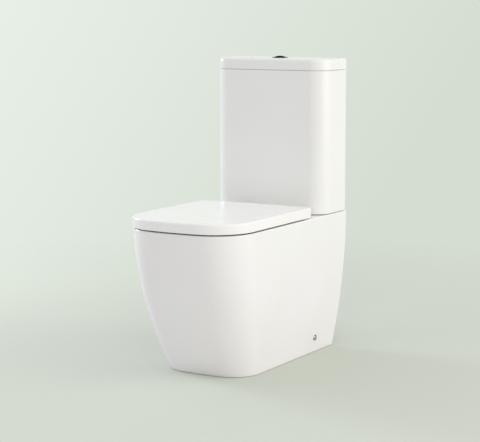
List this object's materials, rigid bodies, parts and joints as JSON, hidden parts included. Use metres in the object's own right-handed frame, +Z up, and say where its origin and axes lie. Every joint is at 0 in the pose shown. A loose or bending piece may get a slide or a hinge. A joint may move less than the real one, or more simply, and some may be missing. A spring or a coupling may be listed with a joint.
{
  "type": "floor-standing toilet",
  "caption": "Close-coupled floor-standing toilet with skirted back-to-wall pan, slim soft-close seat and lid, and push-button cistern.",
  "frame": {"origin": "on the floor, centred side to side and half way from the wall plane to the front of the seat lid", "axes": "+X to the viewer's right seen from the front, +Y back to the wall, +Z up"},
  "size_m": [0.355, 0.652, 0.8445],
  "materials": {
    "glazed_china": "opaque white glazed vitreous china, polished",
    "seat_gloss_white": "smooth white moulded seat plastic",
    "dark_chrome": "plastic plated in dark polished chrome",
    "bright_chrome": "polished",
    "plain_steel": "plain stainless",
    "nut_brass": "bare",
    "black_rubber": "soft, matte",
    "bumper_rubber": "soft, translucent white",
    "white_moulding": "natural white injection moulding",
    "grey_moulding": "grey injection moulding"
  },
  "bodies": {
    "pan_and_cistern": {"pan": "glazed_china", "pan_deck": "glazed_china", "pan_bowl": "glazed_china", "pan_sump": "glazed_china", "pan_trapway": "glazed_china", "pan_flush_duct": "glazed_china", "floor_brackets": "white_moulding", "side_fixing_sleeves": "white_moulding", "side_fixing_screws": "plain_steel", "side_fixing_caps": "bright_chrome", "cistern_tank": "glazed_china", "cistern_pads": "black_rubber", "flush_valve_base": "white_moulding", "flush_valve_washer": "black_rubber", "flush_valve_backnut": "white_moulding", "coupling_gasket": "black_rubber", "flush_valve_tower": "white_moulding", "coupling_bolts": "plain_steel", "coupling_rubber_washers": "black_rubber", "coupling_steel_washers": "plain_steel", "coupling_wing_nuts": "nut_brass", "inlet_washers": "black_rubber", "inlet_backnuts": "white_moulding", "fill_valve_shank": "white_moulding", "fill_valve_riser": "white_moulding", "fill_valve_head": "grey_moulding", "float_lever_pin": "plain_steel", "blanking_plug": "white_moulding", "hinge_posts": "plain_steel", "hinge_pins": "plain_steel", "hinge_studs": "plain_steel", "hinge_sleeves": "black_rubber", "hinge_washers": "white_moulding", "hinge_nuts": "white_moulding"},
    "seat_ring_body": {"seat_ring": "seat_gloss_white", "ring_bumpers": "bumper_rubber", "ring_damper": "grey_moulding"},
    "seat_lid_body": {"seat_lid": "seat_gloss_white", "lid_bumpers": "bumper_rubber", "lid_damper": "grey_moulding"},
    "cistern_lid_body": {"cistern_lid": "glazed_china", "button_housing": "dark_chrome", "button_ring_nut": "white_moulding", "full_button_spring": "plain_steel", "half_button_spring": "plain_steel"},
    "full_button_body": {"full_flush_button": "dark_chrome"},
    "half_button_body": {"half_flush_button": "dark_chrome"},
    "full_plunger_body": {"full_flush_plunger": "grey_moulding"},
    "half_plunger_body": {"half_flush_plunger": "grey_moulding"},
    "flush_lift_body": {"flush_seal": "black_rubber", "overflow_tube": "white_moulding"},
    "float_body": {"fill_float": "grey_moulding", "float_link": "plain_steel"},
    "float_lever_body": {"float_lever": "grey_moulding"}
  },
  "joints": [
    {"name": "seat_ring_hinge", "type": "hinge", "parent": "pan_and_cistern", "child": "seat_ring_body", "pos_m": [0, 0.108, 0.4185], "axis": [1, 0, 0], "range_deg": [-97, 0]},
    {"name": "seat_lid_hinge", "type": "hinge", "parent": "seat_ring_body", "child": "seat_lid_body", "pos_m": [0, 0.108, 0.4185], "axis": [-1, 0, 0], "range_deg": [0, 97]},
    {"name": "cistern_lid_lift", "type": "slide", "parent": "pan_and_cistern", "child": "cistern_lid_body", "axis": [0, 0, 1], "range_m": [0, 0.15]},
    {"name": "full_button_press", "type": "slide", "parent": "cistern_lid_body", "child": "full_button_body", "axis": [0, 0, -1], "range_m": [0, 0.008], "stiffness_N_per_m": 400, "springref_m": -0.005, "deforming": ["full_button_spring"]},
    {"name": "half_button_press", "type": "slide", "parent": "cistern_lid_body", "child": "half_button_body", "axis": [0, 0, -1], "range_m": [0, 0.008], "stiffness_N_per_m": 400, "springref_m": -0.005, "deforming": ["half_button_spring"]},
    {"name": "full_plunger_slide", "type": "slide", "parent": "pan_and_cistern", "child": "full_plunger_body", "axis": [0, 0, -1], "range_m": [0, 0.008]},
    {"name": "half_plunger_slide", "type": "slide", "parent": "pan_and_cistern", "child": "half_plunger_body", "axis": [0, 0, -1], "range_m": [0, 0.008]},
    {"name": "flush_valve_lift", "type": "slide", "parent": "pan_and_cistern", "child": "flush_lift_body", "axis": [0, 0, 1], "range_m": [0, 0.016]},
    {"name": "float_rise", "type": "slide", "parent": "pan_and_cistern", "child": "float_body", "axis": [0, 0, 1], "range_m": [0, 0.02]},
    {"name": "float_lever_swing", "type": "hinge", "parent": "pan_and_cistern", "child": "float_lever_body", "pos_m": [-0.1335, 0.27065, 0.7302], "axis": [-1, 0, 0], "range_deg": [0, 24]}
  ],
  "couplings": [
    {"joint": "full_plunger_slide", "follows": "full_button_press", "ratio": 1},
    {"joint": "half_plunger_slide", "follows": "half_button_press", "ratio": 1},
    {"joint": "flush_valve_lift", "follows": "full_button_press", "ratio": 2},
    {"joint": "float_lever_swing", "follows": "float_rise", "rad_per_m": 20.9}
  ]
}
